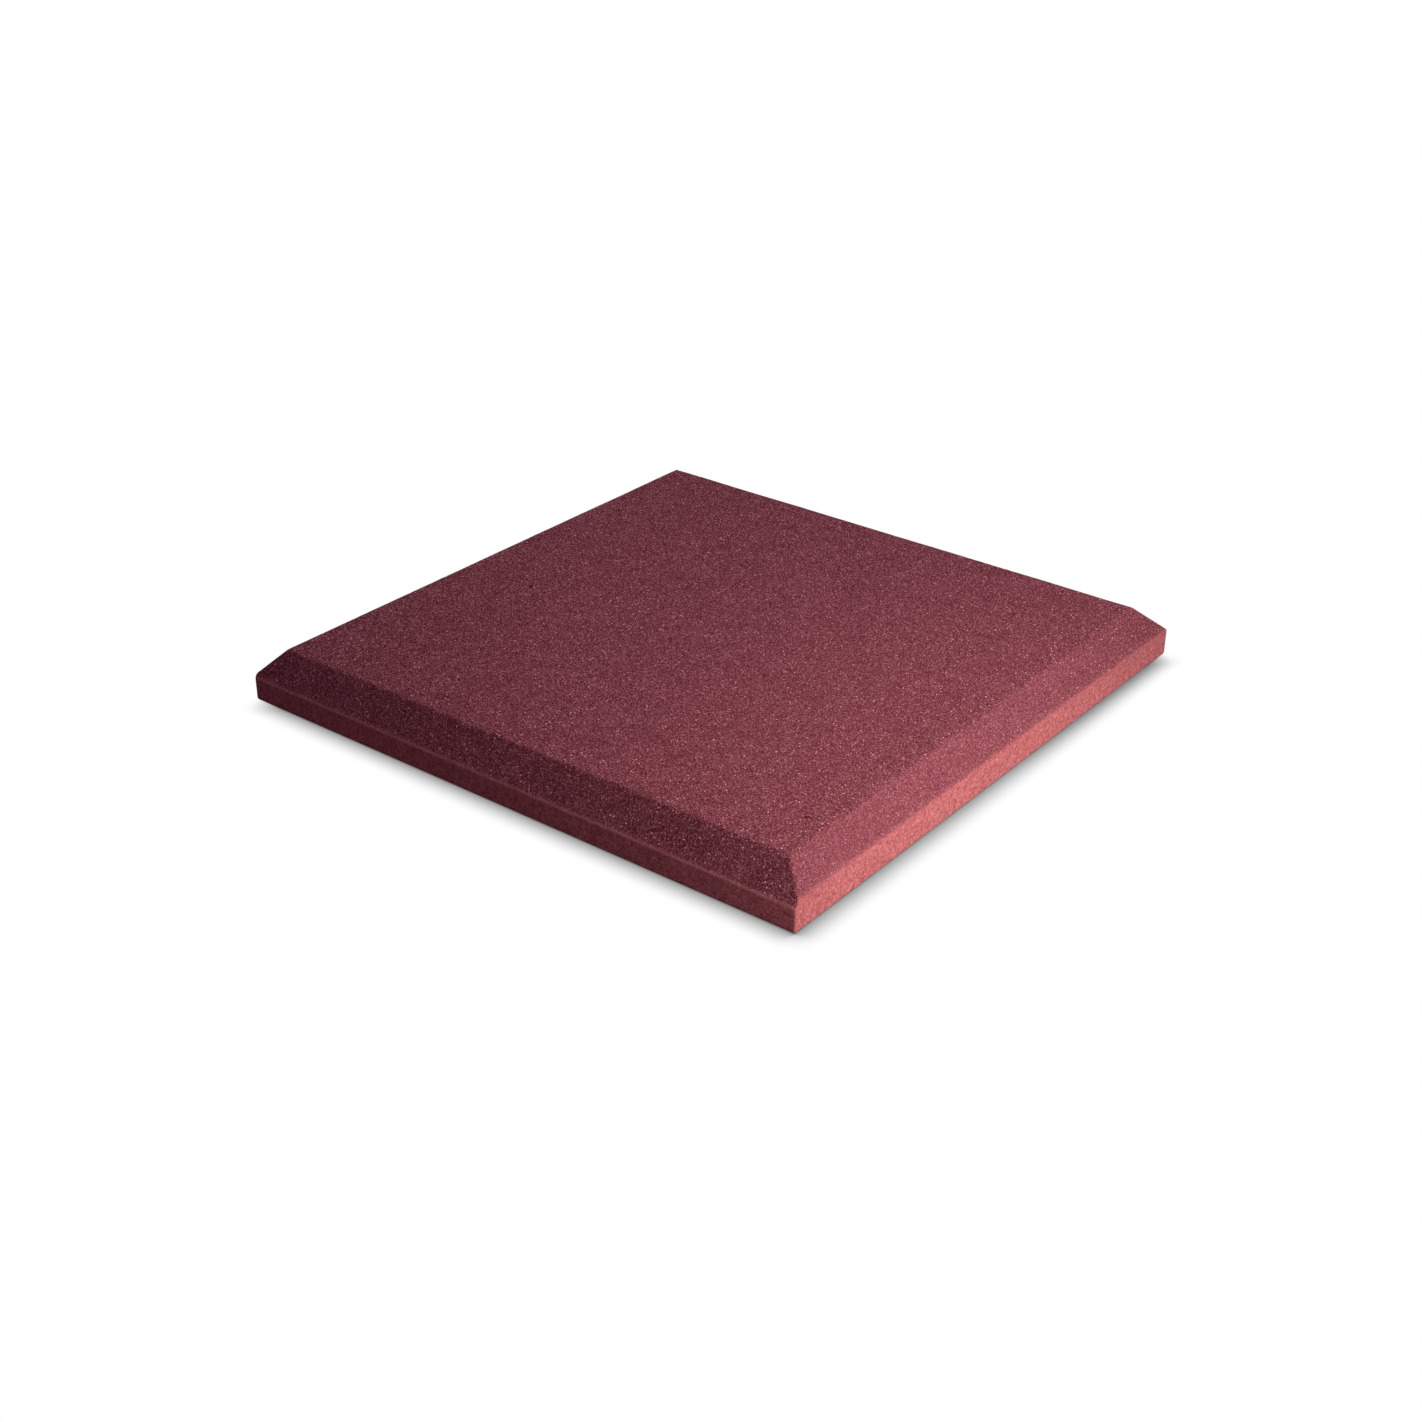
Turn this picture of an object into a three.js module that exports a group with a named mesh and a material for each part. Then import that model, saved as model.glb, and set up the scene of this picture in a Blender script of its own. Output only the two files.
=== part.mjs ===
// Square panel of open-cell foam with bevelled edges, lying on its back, with five peel-and-stick tabs.
// Millimetres, +Z up out of the panel's face. The origin is under the panel's middle, where it rests.

import * as THREE from 'three';

// Foam panel: a square blank with an upright band all round and a bevel cut above it
const panelSide = 609.6;
const panelThickness = 50.8;
const edgeBandHeight = 25.4;
const bevelRun = 24;

// Softened edges of the cut foam, as the length of flat that each rounding takes up on either side
const arrisRounding = 3;
const backEdgeRounding = 1;
const uprightCornerRadius = 2.5;

// Mounting tabs: squares of double-sided foam tape near the corners and in the middle of the back
const tabSide = 50.8;
const tabThickness = 0.75;
const tabCornerRadius = 4;
const tabCentreFromEdge = 76.2;

// Release liners: one on each tab, with an ear that stands out past the tab to peel it by
const linerThickness = 0.125;
const linerEarWidth = 25;
const linerEarLength = 9;
const linerEarCornerRadius = 4;

// Steps of the roundings
const roundingSteps = 4;
const cornerSteps = 5;

const foamColour = 0x8e4450;
const tabColour = 0xe9e6dd;
const linerColour = 0xf4f1e8;

// Where the back of the foam and the tabs lie above the surface that the liners rest on
const tabBackHeight = linerThickness;
const foamBackHeight = linerThickness + tabThickness;

// Half section through one edge, from the back up to the face: x is the distance from the panel's middle
function edgeSection() {
  const edge = panelSide / 2;
  const lowArris = new THREE.Vector2(edge, edgeBandHeight);
  const highArris = new THREE.Vector2(edge - bevelRun, panelThickness);
  const upBevel = highArris.clone().sub(lowArris).normalize();
  const bevelStart = lowArris.clone().addScaledVector(upBevel, arrisRounding);
  const bevelEnd = highArris.clone().addScaledVector(upBevel, -arrisRounding);

  const section = new THREE.Path();
  section.moveTo(edge - backEdgeRounding, 0);
  section.quadraticCurveTo(edge, 0, edge, backEdgeRounding);
  section.lineTo(edge, edgeBandHeight - arrisRounding);
  section.quadraticCurveTo(lowArris.x, lowArris.y, bevelStart.x, bevelStart.y);
  section.lineTo(bevelEnd.x, bevelEnd.y);
  section.quadraticCurveTo(highArris.x, highArris.y, highArris.x - arrisRounding, panelThickness);
  return section.getPoints(roundingSteps);
}

// Square ring with round corners, counter-clockwise from above, at one height of the section
function squareRing(halfSide, height) {
  const ring = [];
  const toArcCentre = halfSide - uprightCornerRadius;
  for (let corner = 0; corner < 4; corner++) {
    const quarter = corner * Math.PI / 2;
    const centre = new THREE.Vector2(toArcCentre, toArcCentre).rotateAround(new THREE.Vector2(), quarter);
    for (let step = 0; step <= cornerSteps; step++) {
      const angle = quarter + step / cornerSteps * Math.PI / 2;
      const x = centre.x + uprightCornerRadius * Math.cos(angle);
      const y = centre.y + uprightCornerRadius * Math.sin(angle);
      ring.push(new THREE.Vector3(x, y, height));
    }
  }
  return ring;
}

// Closed skin through a stack of rings, with a flat cap at each end
function loftRings(rings) {
  const points = rings.flat();
  const perRing = rings[0].length;
  const lastRing = (rings.length - 1) * perRing;
  const backMiddle = points.length;
  const faceMiddle = backMiddle + 1;
  points.push(new THREE.Vector3(0, 0, rings[0][0].z), new THREE.Vector3(0, 0, points[lastRing].z));

  const triangles = [];
  for (let step = 0; step < perRing; step++) {
    const next = (step + 1) % perRing;
    triangles.push(backMiddle, next, step);
    for (let start = 0; start < lastRing; start += perRing) {
      triangles.push(start + step, start + next, start + perRing + next);
      triangles.push(start + step, start + perRing + next, start + perRing + step);
    }
    triangles.push(faceMiddle, lastRing + step, lastRing + next);
  }
  const geometry = new THREE.BufferGeometry().setFromPoints(points);
  geometry.setIndex(triangles);
  geometry.computeVertexNormals();
  return geometry;
}

// Outline of a tab: a square with round corners about its own middle
function tabOutline() {
  const half = tabSide / 2;
  const straight = half - tabCornerRadius;
  const outline = new THREE.Shape();
  outline.absarc(straight, straight, tabCornerRadius, 0, Math.PI / 2);
  outline.absarc(-straight, straight, tabCornerRadius, Math.PI / 2, Math.PI);
  outline.absarc(-straight, -straight, tabCornerRadius, Math.PI, 3 * Math.PI / 2);
  outline.absarc(straight, -straight, tabCornerRadius, 3 * Math.PI / 2, 2 * Math.PI);
  return outline;
}

// Outline of a liner: the tab's square with the peeling ear on its +X side
function linerOutline() {
  const half = tabSide / 2;
  const straight = half - tabCornerRadius;
  const earHalf = linerEarWidth / 2;
  const earEnd = half + linerEarLength;
  const earRound = linerEarCornerRadius;
  const outline = new THREE.Shape();
  outline.moveTo(half, earHalf);
  outline.absarc(straight, straight, tabCornerRadius, 0, Math.PI / 2);
  outline.absarc(-straight, straight, tabCornerRadius, Math.PI / 2, Math.PI);
  outline.absarc(-straight, -straight, tabCornerRadius, Math.PI, 3 * Math.PI / 2);
  outline.absarc(straight, -straight, tabCornerRadius, 3 * Math.PI / 2, 2 * Math.PI);
  outline.lineTo(half, -earHalf);
  outline.absarc(earEnd - earRound, -earHalf + earRound, earRound, 3 * Math.PI / 2, 2 * Math.PI);
  outline.absarc(earEnd - earRound, earHalf - earRound, earRound, 0, Math.PI / 2);
  return outline;
}

function plate(outline, thickness) {
  const options = { depth: thickness, bevelEnabled: false, curveSegments: cornerSteps };
  return new THREE.ExtrudeGeometry(outline, options);
}

function namedMesh(name, geometry, colour, roughness) {
  const material = new THREE.MeshStandardMaterial({ color: colour, roughness, metalness: 0 });
  const mesh = new THREE.Mesh(geometry, material);
  mesh.name = name;
  return mesh;
}

function foamPanel() {
  const rings = edgeSection().map((point) => squareRing(point.x, point.y));
  const mesh = namedMesh('foam_panel', loftRings(rings), foamColour, 1);
  mesh.position.z = foamBackHeight;
  return mesh;
}

// One tab bonded to the foam's back, with its liner under it
function mountingPoint(place, x, y) {
  const point = new THREE.Group();
  point.position.set(x, y, 0);
  const tab = namedMesh(`mounting_tab_${place}`, plate(tabOutline(), tabThickness), tabColour, 0.8);
  tab.position.z = tabBackHeight;
  const liner = namedMesh(`release_liner_${place}`, plate(linerOutline(), linerThickness), linerColour, 0.4);
  point.add(tab, liner);
  return point;
}

function mountingPoints() {
  const reach = panelSide / 2 - tabCentreFromEdge;
  const points = new THREE.Group();
  points.add(mountingPoint('centre', 0, 0));
  for (const [end, y] of [['front', -reach], ['back', reach]]) {
    for (const [side, x] of [['left', -reach], ['right', reach]]) {
      points.add(mountingPoint(`${end}_${side}`, x, y));
    }
  }
  return points;
}

const acousticFoamPanel = new THREE.Group();
acousticFoamPanel.add(foamPanel(), mountingPoints());

export default acousticFoamPanel;
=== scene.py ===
"""Looks of the acoustic foam panel: the cut foam, and the tape tabs and release liners on its back."""

import math
from collections import namedtuple

import bmesh
import bpy
import numpy as np
from mathutils import Matrix, Vector, noise

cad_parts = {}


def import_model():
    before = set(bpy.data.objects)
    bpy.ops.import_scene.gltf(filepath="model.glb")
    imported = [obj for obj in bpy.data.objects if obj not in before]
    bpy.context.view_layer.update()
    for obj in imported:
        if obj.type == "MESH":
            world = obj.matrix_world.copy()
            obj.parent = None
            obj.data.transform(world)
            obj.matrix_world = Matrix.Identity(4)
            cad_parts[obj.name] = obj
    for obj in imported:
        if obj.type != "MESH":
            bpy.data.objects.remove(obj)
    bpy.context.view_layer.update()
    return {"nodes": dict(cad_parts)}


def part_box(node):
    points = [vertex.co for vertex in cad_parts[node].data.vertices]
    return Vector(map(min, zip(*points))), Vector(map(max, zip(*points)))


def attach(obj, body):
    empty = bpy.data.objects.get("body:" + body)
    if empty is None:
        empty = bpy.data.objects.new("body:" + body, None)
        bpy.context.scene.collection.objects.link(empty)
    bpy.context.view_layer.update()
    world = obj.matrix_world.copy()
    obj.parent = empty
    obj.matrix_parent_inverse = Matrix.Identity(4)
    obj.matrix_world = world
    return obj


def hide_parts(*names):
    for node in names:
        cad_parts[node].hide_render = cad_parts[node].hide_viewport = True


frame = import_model()

MM = 0.001

# The foam's blank, from the frame
foam_low, foam_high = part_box("foam_panel")
HALF_SIDE = (foam_high.x - foam_low.x) / 2
THICKNESS = foam_high.z - foam_low.z
BACK_HEIGHT = foam_low.z

# Camera of the photograph: aimed at the middle of the foam's back, then moved sideways
CAMERA_AZIMUTH = math.radians(37.655)
CAMERA_ELEVATION = math.radians(28.376)
CAMERA_ROLL = math.radians(0.513)
CAMERA_DISTANCE = 1949.5 * MM
CAMERA_RIGHT = -10.4 * MM
CAMERA_UP = -33.3 * MM
LENS = 52.345
SENSOR = 36
CLIP_NEAR, CLIP_FAR = 0.05, 50

# Knife work of each side, as pairs of values for its two ends: the band left below the bevel, the bevel's
# run, how strong the bevel's grain is, how bright the bevel is, and how soft its arris with the face is. The
# last value is how strong the painted highlight along its frayed arris with the band is
Side = namedtuple("Side", "out along band run grain tone softness fray")
SIDES = [
    Side((0, -1), (1, 0), band=(22.5 * MM, 22.7 * MM), run=(20.9 * MM, 23.7 * MM),
         grain=(1.4, 1.35), tone=(1.06, 0.97), softness=(0.3 * MM, 0.3 * MM), fray=1.0),
    Side((1, 0), (0, 1), band=(27.6 * MM, 25.9 * MM), run=(23.6 * MM, 26.8 * MM),
         grain=(0.80, 1.02), tone=(1.07, 0.97), softness=(1.4 * MM, 0.5 * MM), fray=0.1),
    Side((0, 1), (1, 0), band=(25.6 * MM, 26.0 * MM), run=(24.0 * MM, 25.7 * MM),
         grain=(1.2, 1.2), tone=(1.0, 1.0), softness=(0.3 * MM, 0.3 * MM), fray=0.5),
    Side((-1, 0), (0, 1), band=(26.0 * MM, 25.6 * MM), run=(24.6 * MM, 24.6 * MM),
         grain=(1.2, 1.2), tone=(1.0, 1.0), softness=(0.3 * MM, 0.3 * MM), fray=0.8),
]

# How strong the face's grain is at the left and right end of the first side
FACE_GRAIN = (1.75, 1.2)

# How far off the corners the softness of one side's arris turns into the next one's
SIDE_BLEND = 20 * MM

# Softness of the other edges: how far a smooth blend reaches round each kind of edge
MITRE_SOFTNESS = 0.5 * MM
UPRIGHT_SOFTNESS = 0.55 * MM
BACK_SOFTNESS = 0.7 * MM

# Section and uprights that the mesh is laid out on, before it is settled on the real ones
NOMINAL_BAND = 25.4 * MM
NOMINAL_RUN = 24 * MM
UPRIGHT_RADIUS = 2.5 * MM

# Mesh spacing: fine at the edges and coarse on the flats. The back has every second line of the face's grid
FINE_ALONG = 0.9 * MM
FINE_ACROSS = 0.55 * MM
COARSE_ALONG = 3.3 * MM
COARSE_ACROSS = 2.6 * MM
RAMP_ALONG = 24 * MM
RAMP_ACROSS = 9 * MM
FACE_MARGIN = 6 * MM
BACK_MARGIN = 2 * MM
FACE_STRIDE = 1
BACK_STRIDE = 2


def camera():
    bpy.context.scene.view_settings.view_transform = "Standard"
    sin_az, cos_az = math.sin(CAMERA_AZIMUTH), math.cos(CAMERA_AZIMUTH)
    sin_el, cos_el = math.sin(CAMERA_ELEVATION), math.cos(CAMERA_ELEVATION)
    back = Vector((sin_az * cos_el, -cos_az * cos_el, sin_el))
    level = Vector((cos_az, sin_az, 0))
    rise = back.cross(level)
    right = math.cos(CAMERA_ROLL) * level + math.sin(CAMERA_ROLL) * rise
    up = back.cross(right)
    aim = Vector((0, 0, BACK_HEIGHT))
    place = aim + back * CAMERA_DISTANCE + right * CAMERA_RIGHT + up * CAMERA_UP
    data = bpy.data.cameras.new("camera")
    data.lens, data.sensor_width = LENS, SENSOR
    data.clip_start, data.clip_end = CLIP_NEAR, CLIP_FAR
    cam = bpy.data.objects.new("camera", data)
    cam.matrix_world = Matrix.Translation(place) @ Matrix((right, up, back)).transposed().to_4x4()
    bpy.context.scene.collection.objects.link(cam)
    bpy.context.scene.camera = cam


class Nodes:
    """Adds nodes to one tree. Inputs are given by socket name or number, as a value or another socket."""

    def __init__(self, tree):
        self.tree = tree
        tree.nodes.clear()

    def add(self, kind, inputs=None, **settings):
        made = self.tree.nodes.new(kind)
        for name, value in settings.items():
            setattr(made, name, value)
        for name, value in (inputs or {}).items():
            socket = made.inputs[name]
            if isinstance(value, bpy.types.NodeSocket):
                self.tree.links.new(value, socket)
            else:
                socket.default_value = value
        return made

    def math(self, operation, a, b=0.0, clamp=False):
        made = self.add("ShaderNodeMath", {0: a, 1: b}, operation=operation, use_clamp=clamp)
        return made.outputs[0]

    def mean(self, first, *others):
        total = first
        for value in others:
            total = self.math("ADD", total, value)
        return self.math("MULTIPLY", total, 1 / (1 + len(others)))

    def mix(self, factor, a, b):
        made = self.add("ShaderNodeMix", {0: factor, 6: a, 7: b}, data_type="RGBA")
        return made.outputs[2]

    def fade(self, value, start, end, low=0.0, high=1.0):
        """low where value is at start, high where it is at end, and a smooth step between."""
        inputs = {"Value": value, "From Min": start, "From Max": end, "To Min": low, "To Max": high}
        made = self.add("ShaderNodeMapRange", inputs, interpolation_type="SMOOTHSTEP")
        return made.outputs["Result"]

    def noise(self, where, size, detail=2.0):
        """Noise from 0 to 1, with lumps about size across."""
        made = self.add("ShaderNodeTexNoise", {"Vector": where, "Scale": 1 / size, "Detail": detail})
        return made.outputs[0]

    def cells(self, where, size):
        """Voronoi cells about size across: the node, for its Distance and Color."""
        return self.add("ShaderNodeTexVoronoi", {"Vector": where, "Scale": 1 / size})

    def random(self, cells):
        """A random number from 0 to 1 for each cell."""
        return self.add("ShaderNodeSeparateColor", {0: cells.outputs["Color"]}).outputs[0]

    def surface(self, shader):
        self.add("ShaderNodeOutputMaterial", {"Surface": shader})


def new_material(name):
    material = bpy.data.materials.new(name)
    material.use_nodes = True
    return material, Nodes(material.node_tree)


# World and floor: both white to the camera, and to the object a dim purplish room and a dark floor
ROOM_COLOUR = (0.186, 0.118, 0.184, 1)
ROOM_STRENGTH = 1.0
FLOOR_HALF = 6.0
FLOOR_BOUNCE = (0.06, 0.06, 0.06, 1)
WHITE = (1, 1, 1, 1)

# Contact shadow: how far off the foam still shades the floor, how far the floor's outlook leans towards the
# foam, and how the share of the outlook that is hidden turns into shade. Shade fades out near the left and
# right corners, at these distances from a line parallel to the one through them, and deepens along the right
# side. FORWARD is across that line, towards the front corner
SHADOW_REACH = 24 * MM
SHADOW_LEAN = 0.8
SHADOW_DEPTH = 1.53
SHADOW_FALL = 1.69
SHADOW_DARKEST = 0.21
SHADOW_SAMPLES = 16
FORWARD = (math.sqrt(0.5), -math.sqrt(0.5), 0)
FADE_LINE = -22 * MM
FADE_START = 9 * MM
FADE_END = 48 * MM
DEEPER_START = -50 * MM
DEEPER_END = 270 * MM
DEEPER_SHARE = 1.22


def seen_directly(nodes):
    """1 for rays from the camera, or by way of a mirror or glass, and 0 for light that spreads."""
    path = nodes.add("ShaderNodeLightPath")
    seen = nodes.math("ADD", path.outputs["Is Camera Ray"], path.outputs["Is Glossy Ray"])
    return nodes.math("ADD", seen, path.outputs["Is Transmission Ray"], clamp=True)


def world():
    made = bpy.data.worlds.new("studio")
    made.use_nodes = True
    nodes = Nodes(made.node_tree)
    room = nodes.add("ShaderNodeBackground", {"Color": ROOM_COLOUR, "Strength": ROOM_STRENGTH})
    white = nodes.add("ShaderNodeBackground", {"Color": WHITE, "Strength": 1.0})
    both = nodes.add("ShaderNodeMixShader",
                     {0: seen_directly(nodes), 1: room.outputs[0], 2: white.outputs[0]})
    nodes.add("ShaderNodeOutputWorld", {"Surface": both.outputs[0]})
    bpy.context.scene.world = made


def floor():
    material, nodes = new_material("floor")
    where = nodes.add("ShaderNodeTexCoord").outputs["Object"]
    ahead = nodes.add("ShaderNodeVectorMath", {0: where, 1: FORWARD}, operation="DOT_PRODUCT")
    ahead = nodes.math("SUBTRACT", ahead.outputs["Value"], FADE_LINE)
    lean = nodes.math("MULTIPLY", nodes.math("SIGN", ahead), SHADOW_LEAN)
    lean_back = nodes.math("MULTIPLY", lean, -1.0)
    outlook = nodes.add("ShaderNodeCombineXYZ", {"X": lean_back, "Y": lean, "Z": 1.0})
    outlook = nodes.add("ShaderNodeVectorMath", {0: outlook.outputs[0]}, operation="NORMALIZE").outputs[0]
    near = nodes.add("ShaderNodeAmbientOcclusion", {"Distance": SHADOW_REACH, "Normal": outlook},
                     samples=SHADOW_SAMPLES)
    hidden = nodes.math("SUBTRACT", 1.0, near.outputs["AO"])
    shade = nodes.math("MULTIPLY", nodes.math("POWER", hidden, SHADOW_FALL), SHADOW_DEPTH)
    corner_fade = nodes.fade(nodes.math("ABSOLUTE", ahead), FADE_START, FADE_END)
    across = nodes.add("ShaderNodeSeparateXYZ", {0: where}).outputs["Y"]
    deeper = nodes.fade(across, DEEPER_START, DEEPER_END, 1.0, DEEPER_SHARE)
    shade = nodes.math("MULTIPLY", shade, nodes.math("MULTIPLY", corner_fade, deeper))
    light = nodes.math("MAXIMUM", nodes.math("SUBTRACT", 1.0, shade), SHADOW_DARKEST)
    white = nodes.add("ShaderNodeEmission", {"Color": WHITE, "Strength": light})
    bounce = nodes.add("ShaderNodeBsdfDiffuse", {"Color": FLOOR_BOUNCE})
    both = nodes.add("ShaderNodeMixShader",
                     {0: seen_directly(nodes), 1: bounce.outputs[0], 2: white.outputs[0]})
    nodes.surface(both.outputs[0])

    mesh = bpy.data.meshes.new("floor")
    corners = [(-FLOOR_HALF, -FLOOR_HALF, 0), (FLOOR_HALF, -FLOOR_HALF, 0),
               (FLOOR_HALF, FLOOR_HALF, 0), (-FLOOR_HALF, FLOOR_HALF, 0)]
    mesh.from_pydata(corners, [], [(0, 1, 2, 3)])
    mesh.materials.append(material)
    made = bpy.data.objects.new("floor", mesh)
    bpy.context.scene.collection.objects.link(made)


# Lamps: a soft box low on the right, and a weaker and wider one overhead
Lamp = namedtuple("Lamp", "name place size power colour")
LAMPS = [
    Lamp("key", (0.536, -0.079, 0.341), 0.8, 7.35, (0.98, 1.0, 0.89)),
    Lamp("overhead", (-0.122, 0.249, 0.509), 1.2, 2.9, (0.93, 0.96, 1.0)),
]


def lamps():
    for lamp in LAMPS:
        data = bpy.data.lights.new(lamp.name, "AREA")
        data.shape, data.size = "SQUARE", lamp.size
        data.energy, data.color = lamp.power, lamp.colour
        made = bpy.data.objects.new(lamp.name, data)
        made.location = lamp.place
        made.rotation_mode = "QUATERNION"
        made.rotation_quaternion = (-Vector(lamp.place)).to_track_quat("-Z", "Y")
        made.visible_camera = False
        bpy.context.scene.collection.objects.link(made)


def smooth_max(values, softness):
    """The largest of some distances, rounded off where two are alike."""
    stack = np.stack(values)
    top = stack.max(0)
    return top + softness * np.log(np.exp((stack - top) / softness).sum(0))


def between(side, points, ends):
    """At each point, a value that goes from the first of two ends to the second along a side."""
    share = (points[:, :2] @ np.array(side.along, float) / HALF_SIDE + 1) / 2
    return ends[0] + (ends[1] - ends[0]) * share


def side_distances(points):
    """Distances of points outside the band plane and the bevel plane of each side."""
    bands, bevels = [], []
    for side in SIDES:
        reach = points[:, :2] @ np.array(side.out, float)
        band_height = between(side, points, side.band)
        run = between(side, points, side.run)
        rise = THICKNESS - band_height
        outside = reach - HALF_SIDE
        bands.append(outside)
        bevels.append((outside * rise + (points[:, 2] - band_height) * run) / np.hypot(rise, run))
    return bands, bevels


def arris_softness(points, bevels):
    """Softness of the arrises at each point: that of the nearest side, blended from side to side."""
    nearness = np.exp((np.stack(bevels) - np.max(bevels, 0)) / SIDE_BLEND)
    each = np.stack([between(side, points, side.softness) for side in SIDES])
    return (nearness * each).sum(0) / nearness.sum(0)


def outside_foam(points):
    """Distance of points outside the foam's cut shape, with its edges softened."""
    bands, bevels = side_distances(points)
    band = smooth_max(bands, UPRIGHT_SOFTNESS)
    bevel = smooth_max(bevels, MITRE_SOFTNESS)
    face = points[:, 2] - THICKNESS
    cut = smooth_max([band, bevel, face], arris_softness(points, bevels))
    return smooth_max([cut, -points[:, 2]], BACK_SOFTNESS)


def outward(points, step=0.02 * MM):
    """Gradient of the distance outside the foam."""
    gradient = np.empty_like(points)
    for axis in range(3):
        shift = np.zeros(3)
        shift[axis] = step
        gradient[:, axis] = (outside_foam(points + shift) - outside_foam(points - shift)) / (2 * step)
    return gradient


def settle(points, rounds=6):
    """Moves points onto the foam's surface."""
    for _ in range(rounds):
        gradient = outward(points)
        points = points - gradient * (outside_foam(points) / (gradient ** 2).sum(1))[:, None]
    return points


def graded(length, fine_start, fine_end, fine, coarse, ramp, even=False, trials=4000):
    """Places from 0 to length, close together at the fine ends and coarse apart between them."""
    s = np.linspace(0, length, trials)
    near_start = np.clip(1 - s / ramp, 0, 1) if fine_start else 0 * s
    near_end = np.clip(1 - (length - s) / ramp, 0, 1) if fine_end else 0 * s
    spacing = coarse - (coarse - fine) * np.maximum(near_start, near_end)
    count = np.concatenate([[0], np.cumsum((1 / spacing[1:] + 1 / spacing[:-1]) / 2 * np.diff(s))])
    steps = max(1, round(count[-1]))
    if even:
        steps += steps % 2
    return np.interp(np.linspace(0, count[-1], steps + 1), count, s)


def section_rows():
    """(inset, height) of each row of the nominal section, from the back's margin up to the face's margin."""
    corners = [(BACK_MARGIN, 0), (0, 0), (0, NOMINAL_BAND), (NOMINAL_RUN, THICKNESS),
               (NOMINAL_RUN + FACE_MARGIN, THICKNESS)]
    corners = [np.array(c, float) for c in corners]
    last = len(corners) - 2
    rows = [corners[0]]
    for k, (a, b) in enumerate(zip(corners, corners[1:])):
        length = np.linalg.norm(b - a)
        for s in graded(length, k > 0, k < last, FINE_ACROSS, COARSE_ACROSS, RAMP_ACROSS)[1:]:
            rows.append(a + (b - a) * s / length)
    return rows


def round_corners(x, y, half):
    """Moves points near the corners of a square into one with round corners."""
    straight = half - UPRIGHT_RADIUS
    over_x, over_y = np.maximum(abs(x) - straight, 0), np.maximum(abs(y) - straight, 0)
    far = np.hypot(over_x, over_y)
    in_corner = (over_x > 0) & (over_y > 0)
    shrink = np.where(in_corner, np.maximum(over_x, over_y) / np.where(in_corner, far, 1), 1)
    new_x = np.where(in_corner, np.sign(x) * (straight + over_x * shrink), x)
    new_y = np.where(in_corner, np.sign(y) * (straight + over_y * shrink), y)
    return new_x, new_y


def foam_grid():
    """The foam's points and faces before it is settled: a grid, rings down the sides, and a grid."""
    ticks = graded(2 * HALF_SIDE, True, True, FINE_ALONG, COARSE_ALONG, RAMP_ALONG, even=True)
    ticks = ticks / HALF_SIDE - 1
    n = len(ticks) - 1
    rows = section_rows()

    def flat(x_share, y_share, inset, height):
        half = HALF_SIDE - inset
        x, y = round_corners(x_share * half, y_share * half, half)
        return np.stack([x, y, np.full_like(x, height)], 1)

    edge = [(i, 0) for i in range(n)] + [(n, j) for j in range(n)]
    edge += [(n - i, n) for i in range(n)] + [(0, n - j) for j in range(n)]
    ring_of = {place: k for k, place in enumerate(edge)}
    ring_x = ticks[[i for i, _ in edge]]
    ring_y = ticks[[j for _, j in edge]]
    perimeter = len(edge)
    points = [flat(ring_x, ring_y, inset, height) for inset, height in rows]
    faces = []
    for row in range(len(rows) - 1):
        low, high = row * perimeter, (row + 1) * perimeter
        for k in range(perimeter):
            following = (k + 1) % perimeter
            faces.append((low + k, low + following, high + following, high + k))

    def cap(row, stride, upward):
        """Grid across the opening of one ring, with every stride-th line of it."""
        inset, height = rows[row]
        cells = n // stride
        start = sum(len(p) for p in points)
        inner = [(i, j) for i in range(1, cells) for j in range(1, cells)]
        inner_of = {place: start + k for k, place in enumerate(inner)}
        inner_x = ticks[[i * stride for i, _ in inner]]
        inner_y = ticks[[j * stride for _, j in inner]]
        points.append(flat(inner_x, inner_y, inset, height))

        def vertex(i, j):
            on_ring = ring_of.get((i * stride, j * stride))
            return inner_of[i, j] if on_ring is None else row * perimeter + on_ring

        for i in range(cells):
            for j in range(cells):
                outline = []
                corners = [(i, j), (i + 1, j), (i + 1, j + 1), (i, j + 1)]
                for (a, b), (c, d) in zip(corners, corners[1:] + corners[:1]):
                    outline.append(vertex(a, b))
                    for part in range(1, stride):
                        middle = (a * stride + (c - a) * part, b * stride + (d - b) * part)
                        if middle in ring_of:
                            outline.append(row * perimeter + ring_of[middle])
                faces.append(tuple(outline if upward else outline[::-1]))

    cap(len(rows) - 1, FACE_STRIDE, True)
    cap(0, BACK_STRIDE, False)
    return np.concatenate(points), faces


# Unevenness of the cut surface: size, height and seed of each kind. The ragged kind keeps to the arrises,
# and all of it comes in over TRUE_BACK, so that the back lies flat
WAVE = (70 * MM, 0.25 * MM, 3.1)
RIPPLE = (7 * MM, 0.08 * MM, 7.7)
RAGGED = (3.5 * MM, 0.12 * MM, 12.9)
ARRIS_REACH = 2.0 * MM
TRUE_BACK = 3 * MM

# How far the band's skin turns into the cut foam of the bevel, and how far the painted highlight along a
# frayed arris reaches from it
SKIN_BLEND = 0.9 * MM
FRAY_REACH = 0.8 * MM
LARGEST_EXPONENT = 50

# Pits torn in the face: place, length, width, depth, and the way that the length points. The mesh is cut
# finer round them, and their colour is darkened as painted shade
Pit = namedtuple("Pit", "x y length width depth turn")
PITS = [
    Pit(258.4 * MM, -227 * MM, 5.0 * MM, 3.6 * MM, 2.4 * MM, math.radians(38)),
    Pit(-200 * MM, -45 * MM, 6.4 * MM, 4.2 * MM, 2.2 * MM, math.radians(128)),
]
PIT_MARGIN = 3 * MM
PIT_CUTS = 4
# How fast the painted shade in a pit grows from its rim
PIT_SHADE_GAIN = 4.0


def bumps(points, size, height, seed):
    """Noise up to height, with lumps about size across."""
    offset = Vector((seed, -seed, 2 * seed))
    return height * np.array([noise.noise(Vector(p) / size + offset) for p in points])


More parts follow.
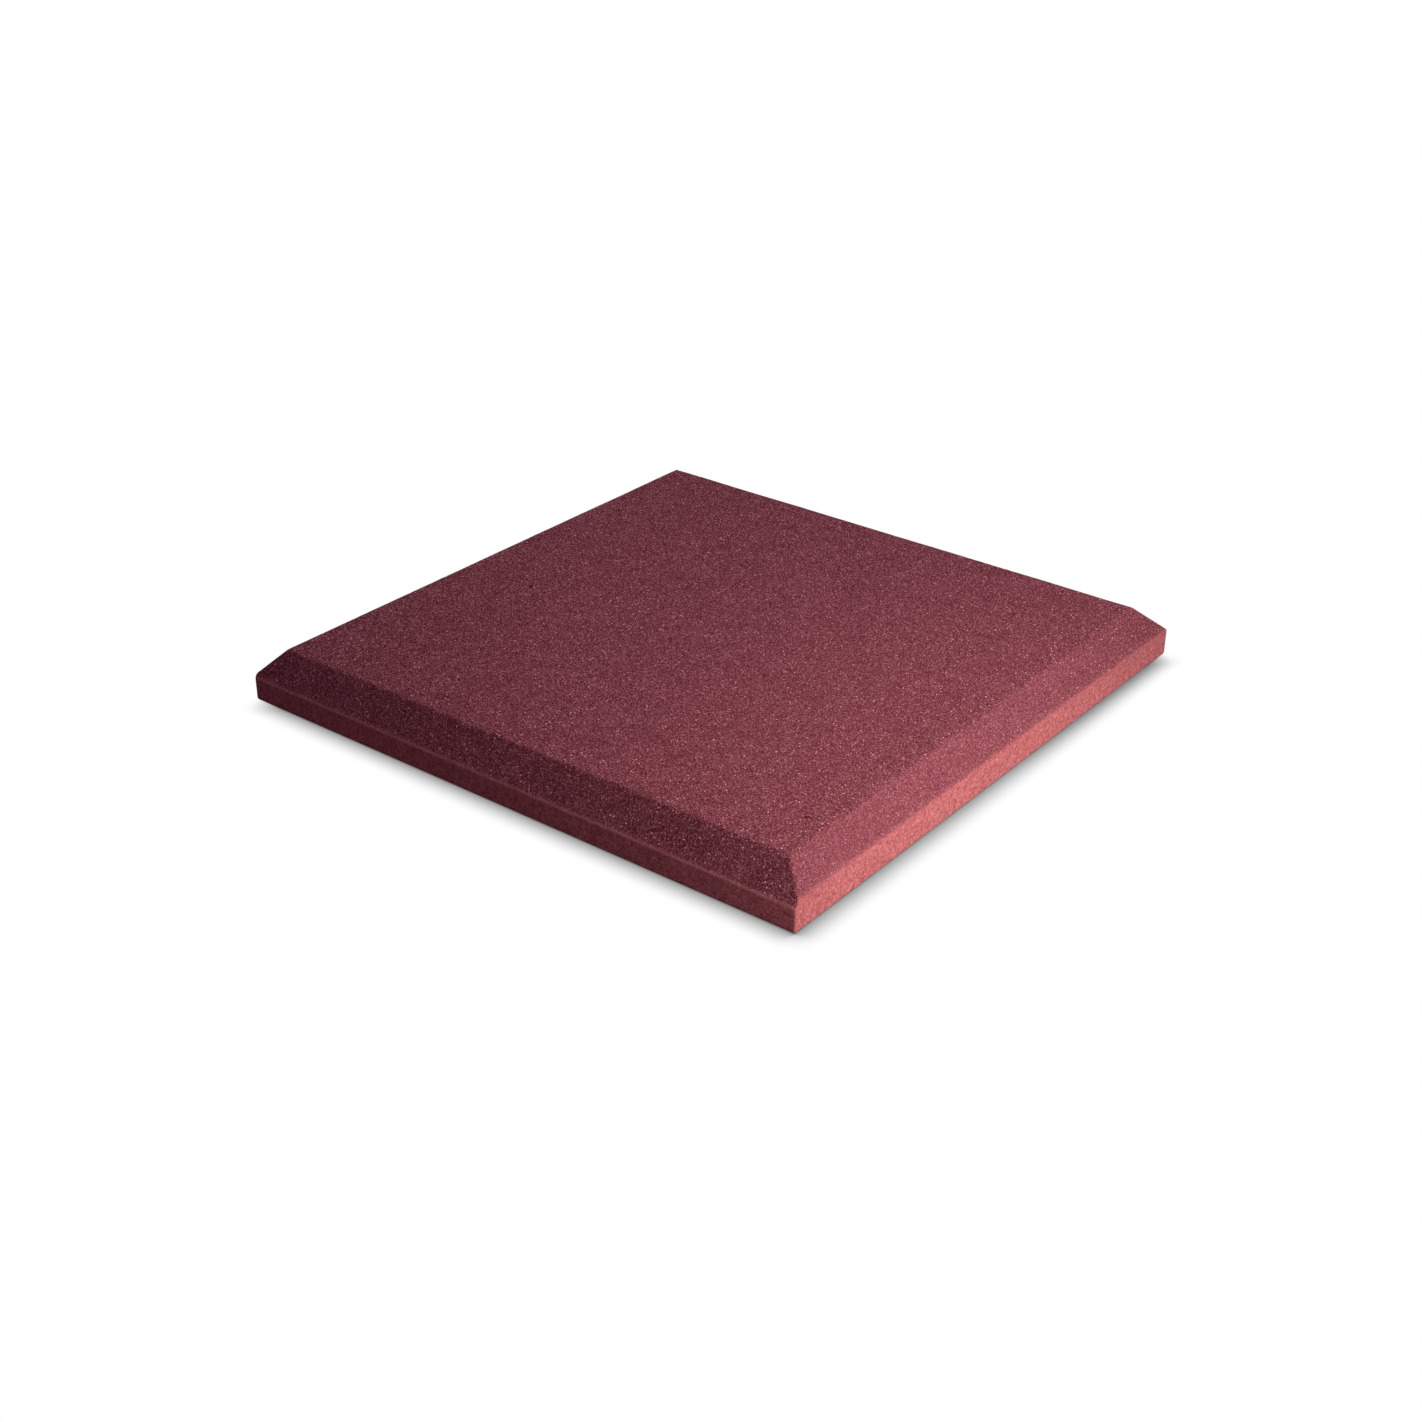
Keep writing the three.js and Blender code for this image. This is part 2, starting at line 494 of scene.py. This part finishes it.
def nearest_cuts(points):
    """Distances of points outside the nearest band plane, the nearest bevel plane and the face."""
    bands, bevels = side_distances(points)
    return np.max(bands, 0), np.max(bevels, 0), points[:, 2] - THICKNESS


def roughen(points):
    """Unevenness of the cut foam: slow waves, small ripples and a ragged arris, but none at the back."""
    normal = outward(points)
    normal /= np.linalg.norm(normal, axis=1)[:, None]
    ranked = np.sort(np.stack(nearest_cuts(points)), 0)
    arris = np.exp(-((ranked[2] - ranked[1]) / ARRIS_REACH) ** 2)
    height = bumps(points, *WAVE) + bumps(points, *RIPPLE) + arris * bumps(points, *RAGGED)
    above_back = np.clip(points[:, 2] / TRUE_BACK, 0, 1)
    return points + normal * (height * above_back)[:, None]


def surface_marks(points):
    """For each point: 1 on the band and back and 0 elsewhere, its painted highlight of a frayed arris, its
    grain and its tone.
    """
    bands, bevels = side_distances(points)
    band, bevel, face = nearest_cuts(points)
    past_arris = np.clip((bevel - band) / SKIN_BLEND, -LARGEST_EXPONENT, LARGEST_EXPONENT)
    skin = 1 / (1 + np.exp(past_arris))
    skin = np.where(face > bevel, 0, skin)
    on_back = -points[:, 2] > np.max([band, bevel, face], 0)
    skin = np.where(on_back, 1, skin)
    # Painted highlight along each side's frayed arris with its band, strongest on the sides away from the
    # lamps
    fray = np.zeros(len(points))
    for side, band_out, bevel_out in zip(SIDES, bands, bevels):
        on_side = (band_out > band - MM) & (bevel_out > bevel - MM)
        line = np.exp(-((band_out - bevel_out) / FRAY_REACH) ** 2) * on_side
        fray = np.maximum(fray, side.fray * line)
    fray = np.where(on_back, 0, fray)
    nearest = np.argmax(np.stack(bevels), 0)
    grains = np.choose(nearest, [between(side, points, side.grain) for side in SIDES])
    tones = np.choose(nearest, [between(side, points, side.tone) for side in SIDES])
    grain = np.where(face > bevel, between(SIDES[0], points, FACE_GRAIN), grains)
    tone = np.where(face > bevel, 1, tones)
    return skin, fray, grain, tone


def pit_share(pit, x, y):
    """How deep in a pit a place on the face is: 1 at the pit's middle and 0 at its rim."""
    along = (x - pit.x) * math.cos(pit.turn) + (y - pit.y) * math.sin(pit.turn)
    aside = (y - pit.y) * math.cos(pit.turn) - (x - pit.x) * math.sin(pit.turn)
    out = np.hypot(along / (pit.length / 2), aside / (pit.width / 2))
    return np.clip(1 - out ** 2, 0, 1)


def split_for_pits(mesh):
    """Cuts the face's mesh finer round each pit."""
    fine = bmesh.new()
    fine.from_mesh(mesh)
    for pit in PITS:
        reach = pit.length / 2 + PIT_MARGIN
        edges = set()
        for face in fine.faces:
            middle = face.calc_center_median()
            if middle.z > THICKNESS / 2 and math.hypot(middle.x - pit.x, middle.y - pit.y) < reach:
                edges.update(face.edges)
        bmesh.ops.subdivide_edges(fine, edges=list(edges), cuts=PIT_CUTS, use_grid_fill=True)
    fine.to_mesh(mesh)
    fine.free()


def sink_pits(points):
    """Sinks the face's points in the pits, and gives each one painted shade by how deep in a pit it is."""
    pit_shade = np.zeros(len(points))
    for pit in PITS:
        share = np.where(points[:, 2] > THICKNESS / 2, pit_share(pit, points[:, 0], points[:, 1]), 0)
        points[:, 2] -= pit.depth * np.sqrt(share)
        pit_shade = np.maximum(pit_shade, np.minimum(PIT_SHADE_GAIN * share, 1))
    return pit_shade


# Attributes of the mesh that the foam's material reads
MARKS = ("skin", "fray", "grain", "tone", "pit_shade")


def foam_panel(material):
    points, faces = foam_grid()
    points = roughen(settle(points))
    mesh = bpy.data.meshes.new("foam")
    mesh.from_pydata(points.tolist(), [], faces)
    mesh.validate()
    split_for_pits(mesh)
    points = np.empty(3 * len(mesh.vertices), np.float32)
    mesh.vertices.foreach_get("co", points)
    points = points.reshape(-1, 3).astype(float)
    skin, fray, grain, tone = surface_marks(points)
    pit_shade = sink_pits(points)
    points[:, 2] += BACK_HEIGHT
    mesh.vertices.foreach_set("co", points.astype(np.float32).ravel())
    for name, values in zip(MARKS, (skin, fray, grain, tone, pit_shade)):
        mesh.attributes.new(name, "FLOAT", "POINT").data.foreach_set("value", values.astype(np.float32))
    mesh.update()
    mesh.shade_smooth()
    mesh.materials.append(material)
    made = bpy.data.objects.new("foam", mesh)
    bpy.context.scene.collection.objects.link(made)
    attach(made, "root")
    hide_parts("foam_panel")


# Colours of the foam: the cut foam on average, and the band's smoother and brighter skin. A cell differs
# from them along GLINT, from dark pores to pale walls, and a speck along a whiter hue: pale cell walls with
# painted glints of light on them. Specks come in from the lower grain given on, and are all there at the
# higher one
CUT_COLOUR = (0.160, 0.0421, 0.0553)
SKIN_COLOUR = (0.380, 0.105, 0.117)
DARKEST = (0.05, 0.004, 0.008)
LIGHTEST = (0.90, 0.42, 0.50)
GLINT = (1.0, 0.42, 0.50)
SPECK_GLINT_HUE = (1.0, 0.51, 0.59)
CELL = 0.64 * MM
SKIN_CELL = 0.8 * MM
SKIN_MOTTLE = 3.0 * MM
SPECK_CELL = 3.3 * MM
SPECK_RADIUS_SHARE = 0.2
SPECK_CORE_SHARE = 0.1
SPECKED_GRAIN = (0.8, 1.2)
CLOUD = 25 * MM

# How much red these add: an average cell of the cut foam or of the skin, an average speck's painted glint,
# and the painted highlight along a frayed arris, and the skin's mottling and the face's clouds from their
# darkest to their lightest
CELL_GLINT = 0.078
SKIN_GLINT = 0.06
SPECK_GLINT = 1.05
FRAY_GLINT = 0.13
MOTTLE_GLINT = 0.42
CLOUD_GLINT = 0.032

# Rarest of cells and of specks: the share of them that are as bright as any may be
RAREST_CELL = 0.002
RAREST_SPECK = 0.05

# Relief of the cells, and the share of it that is left on the skin
RELIEF = 0.31 * MM
SKIN_RELIEF_SHARE = 0.35
FOAM_ROUGHNESS = 0.95
FOAM_SHINE = 0.02


def foam_material():
    material, nodes = new_material("cut_foam")
    where = nodes.add("ShaderNodeTexCoord").outputs["Object"]
    marks = [nodes.add("ShaderNodeAttribute", attribute_name=name) for name in MARKS]
    skin, fray, grain, tone, pit_shade = [mark.outputs["Fac"] for mark in marks]

    def times(value, factor):
        return nodes.math("MULTIPLY", value, factor)

    def glints(cells, rarest):
        """A few cells that are bright, and many that are dull: 0 on average, and -1 at the least."""
        u = nodes.math("MAXIMUM", nodes.random(cells), rarest)
        return nodes.math("SUBTRACT", times(nodes.math("LOGARITHM", u, math.e), -1.0), 1.0)

    def lit(colour, way, strength):
        """The colour, and this strength of another one added to it."""
        shift = nodes.add("ShaderNodeVectorMath", {0: way, 3: strength}, operation="SCALE")
        both = nodes.add("ShaderNodeVectorMath", {0: colour, 1: shift.outputs[0]}, operation="ADD")
        return both.outputs[0]

    def drift(size, amount):
        """Slow change of brightness, 0 on average."""
        return times(nodes.math("SUBTRACT", nodes.noise(where, size), 0.5), amount)

    cells = nodes.cells(where, CELL)
    specks = nodes.cells(where, SPECK_CELL)
    # Specks: pale cell walls with painted glints on them
    speck_glint = nodes.fade(specks.outputs["Distance"], SPECK_RADIUS_SHARE, SPECK_CORE_SHARE)
    speck_glint = times(speck_glint, nodes.math("MAXIMUM", glints(specks, RAREST_SPECK), 0.0))
    body = nodes.math("ADD", times(glints(cells, RAREST_CELL), CELL_GLINT), drift(CLOUD, CLOUD_GLINT))
    rough = lit(CUT_COLOUR, GLINT, times(body, grain))
    # Painted glints of the specks, whiter than the foam
    rough = lit(rough, SPECK_GLINT_HUE, times(times(speck_glint, SPECK_GLINT), nodes.fade(grain, *SPECKED_GRAIN)))
    rough = nodes.add("ShaderNodeVectorMath", {0: rough, 3: tone}, operation="SCALE").outputs[0]
    skin_body = times(glints(nodes.cells(where, SKIN_CELL), RAREST_CELL), SKIN_GLINT)
    even = lit(SKIN_COLOUR, GLINT, nodes.math("ADD", skin_body, drift(SKIN_MOTTLE, MOTTLE_GLINT)))
    # Painted highlight along the frayed arrises
    colour = lit(nodes.mix(skin, rough, even), GLINT, times(fray, FRAY_GLINT))
    colour = nodes.add("ShaderNodeVectorMath", {0: colour, 1: DARKEST}, operation="MAXIMUM").outputs[0]
    colour = nodes.add("ShaderNodeVectorMath", {0: colour, 1: LIGHTEST}, operation="MINIMUM").outputs[0]
    # Painted shade in the pits, darkest at their middles
    colour = nodes.mix(pit_shade, colour, DARKEST + (1,))

    depth = nodes.fade(skin, 0.0, 1.0, 1.0, SKIN_RELIEF_SHARE)
    bump = nodes.add("ShaderNodeBump",
                     {"Height": cells.outputs["Distance"], "Strength": depth, "Distance": RELIEF})
    shader = nodes.add("ShaderNodeBsdfPrincipled",
                       {"Base Color": colour, "Roughness": FOAM_ROUGHNESS,
                        "Specular IOR Level": FOAM_SHINE, "Normal": bump.outputs[0]})
    nodes.surface(shader.outputs[0])
    return material


# Liner paper: long fibres that lie along x, faint clouds in the pulp, and a slight cockle
PAPER_PALE = (0.93, 0.91, 0.84, 1)
PAPER_DARK = (0.80, 0.76, 0.66, 1)
PAPER_CONTRAST = (0.3, 0.7)
FIBRE_STRETCH = (0.25, 1.0, 1.0)
FIBRE = 0.4 * MM
FIBRE_DETAIL = 4.0
PULP_CLOUD = 6 * MM
COCKLE = 18 * MM
FIBRE_RELIEF = 0.02 * MM
COCKLE_RELIEF = 0.3 * MM
PAPER_ROUGHNESS = 0.38


def paper_material():
    material, nodes = new_material("liner_paper")
    where = nodes.add("ShaderNodeTexCoord").outputs["Object"]
    stretched = nodes.add("ShaderNodeVectorMath", {0: where, 1: FIBRE_STRETCH}, operation="MULTIPLY")
    fibres = nodes.noise(stretched.outputs[0], FIBRE, FIBRE_DETAIL)
    share = nodes.mean(fibres, nodes.noise(where, PULP_CLOUD))
    colour = nodes.mix(nodes.fade(share, *PAPER_CONTRAST), PAPER_DARK, PAPER_PALE)
    cockle = nodes.add("ShaderNodeBump", {"Height": nodes.noise(where, COCKLE), "Distance": COCKLE_RELIEF})
    bump = nodes.add("ShaderNodeBump",
                     {"Height": fibres, "Distance": FIBRE_RELIEF, "Normal": cockle.outputs[0]})
    shader = nodes.add("ShaderNodeBsdfPrincipled",
                       {"Base Color": colour, "Roughness": PAPER_ROUGHNESS, "Normal": bump.outputs[0]})
    nodes.surface(shader.outputs[0])
    return material


# Tape foam: pale closed cells of two sizes, darker in their hollows, with a slow change of tone
TAPE_PALE = (0.86, 0.84, 0.78, 1)
TAPE_DARK = (0.60, 0.57, 0.50, 1)
TAPE_CONTRAST = (0.25, 0.75)
TAPE_CELL = 0.35 * MM
TAPE_BUBBLE = 1.1 * MM
TAPE_CLOUD = 8 * MM
TAPE_RELIEF = 0.1 * MM
TAPE_ROUGHNESS = 0.8


def tape_material():
    material, nodes = new_material("tab_foam_tape")
    where = nodes.add("ShaderNodeTexCoord").outputs["Object"]
    hollow = nodes.cells(where, TAPE_CELL).outputs["Distance"]
    bubbles = nodes.cells(where, TAPE_BUBBLE).outputs["Distance"]
    clouds = nodes.noise(where, TAPE_CLOUD)
    share = nodes.mean(hollow, bubbles, clouds)
    colour = nodes.mix(nodes.fade(share, *TAPE_CONTRAST), TAPE_PALE, TAPE_DARK)
    bump = nodes.add("ShaderNodeBump", {"Height": hollow, "Distance": TAPE_RELIEF})
    shader = nodes.add("ShaderNodeBsdfPrincipled",
                       {"Base Color": colour, "Roughness": TAPE_ROUGHNESS, "Normal": bump.outputs[0]})
    nodes.surface(shader.outputs[0])
    return material


def dress(prefix, material):
    """Gives every CAD node whose name starts with prefix this material."""
    for name, obj in frame["nodes"].items():
        if name.startswith(prefix):
            for slot in obj.material_slots:
                slot.material = material


camera()
world()
floor()
lamps()
foam_panel(foam_material())
dress("mounting_tab", tape_material())
dress("release_liner", paper_material())
